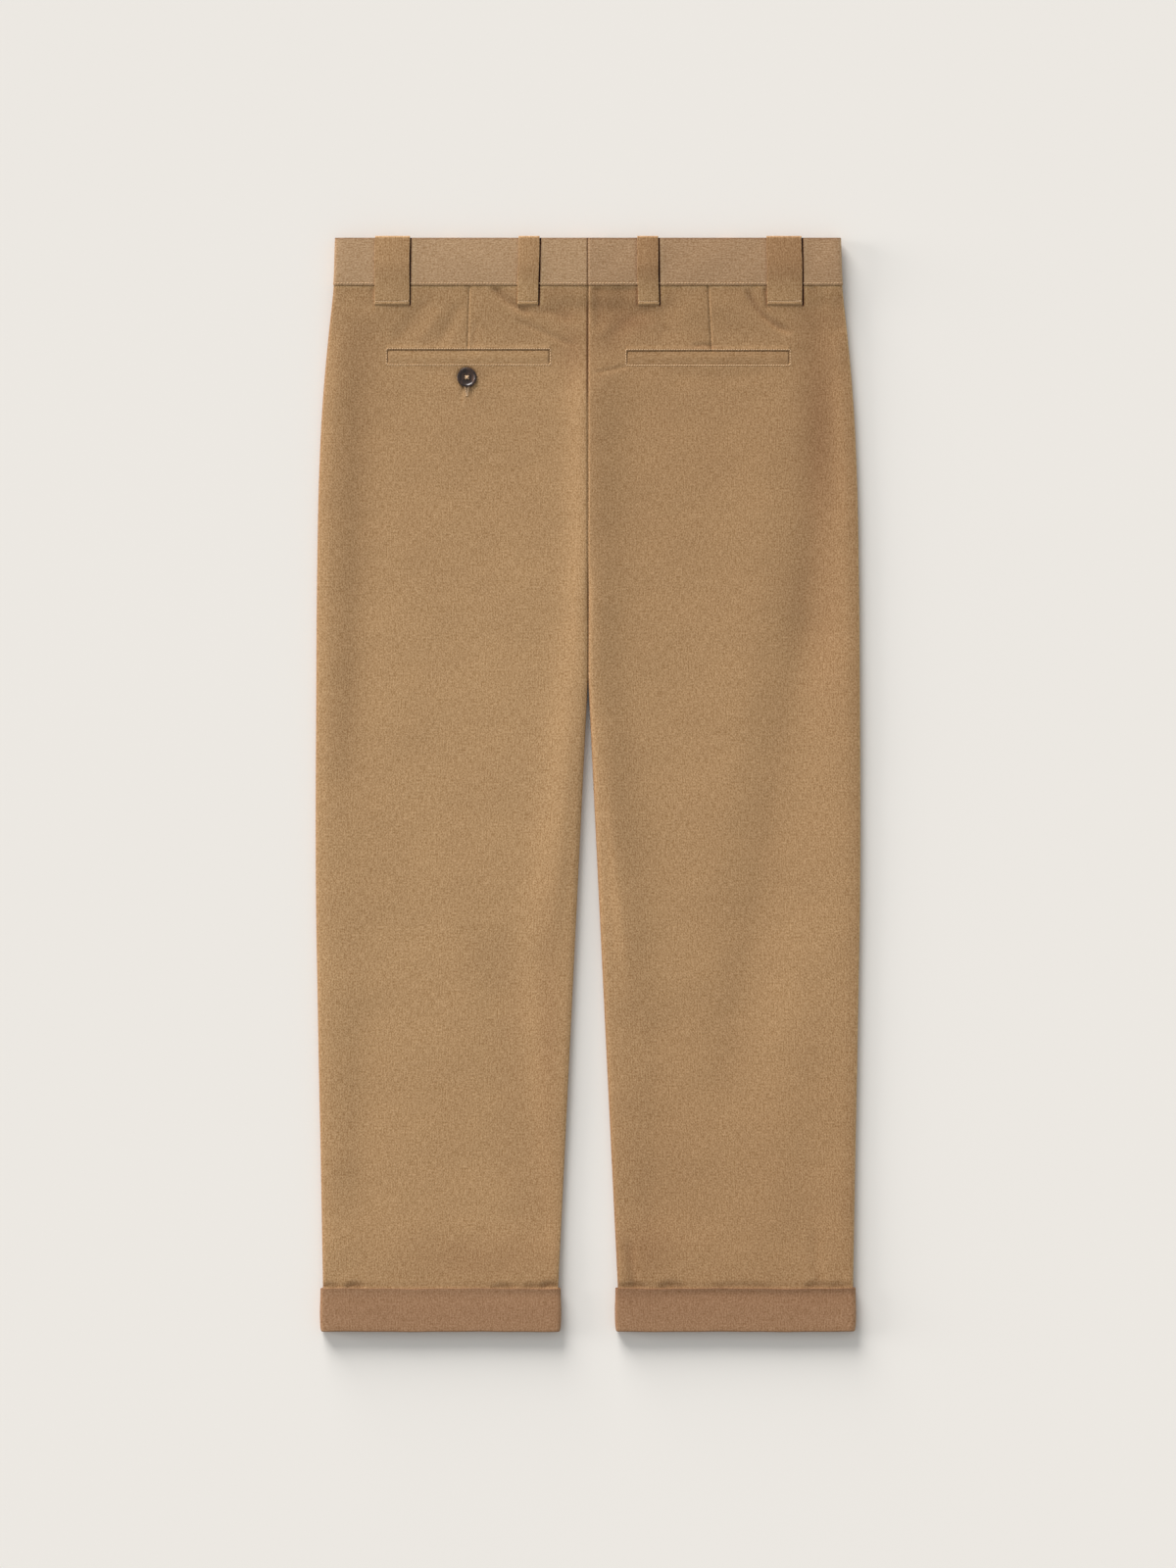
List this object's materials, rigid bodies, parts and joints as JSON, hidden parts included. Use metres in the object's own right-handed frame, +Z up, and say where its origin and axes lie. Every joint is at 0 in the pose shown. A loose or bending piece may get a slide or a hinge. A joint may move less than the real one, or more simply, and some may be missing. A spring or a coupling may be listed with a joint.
{
  "type": "chino trousers",
  "caption": "Straight cotton twill chino trousers laid flat with the back up: waistband with wide and narrow belt loops, two welt back pockets, one buttoned, and turned-up hems.",
  "frame": {"origin": "centre of the bounding box's underside, on the surface that the trousers lie on", "axes": "+X to the wearer's right, +Y from the hems to the waist, +Z up from the surface, towards the back of the trousers"},
  "size_m": [0.4668, 0.939, 0.0123],
  "materials": {
    "cotton_twill": "matte",
    "turn_up_twill": "matte",
    "horn_button": "satin",
    "sewing_thread": "matte"
  },
  "bodies": {
    "root": {"back_left": "cotton_twill", "back_right": "cotton_twill", "front_left": "cotton_twill", "front_right": "cotton_twill", "waistband_left": "cotton_twill", "waistband_right": "cotton_twill", "turn_up_left": "turn_up_twill", "turn_up_right": "turn_up_twill", "belt_loop_back_left_wide": "cotton_twill", "belt_loop_back_left": "cotton_twill", "belt_loop_back_right": "cotton_twill", "belt_loop_back_right_wide": "cotton_twill", "belt_loop_front_left": "cotton_twill", "belt_loop_front_right": "cotton_twill", "pocket_welt_left": "cotton_twill", "pocket_welt_right": "cotton_twill", "pocket_button": "horn_button", "waist_button": "horn_button"}
  },
  "joints": []
}
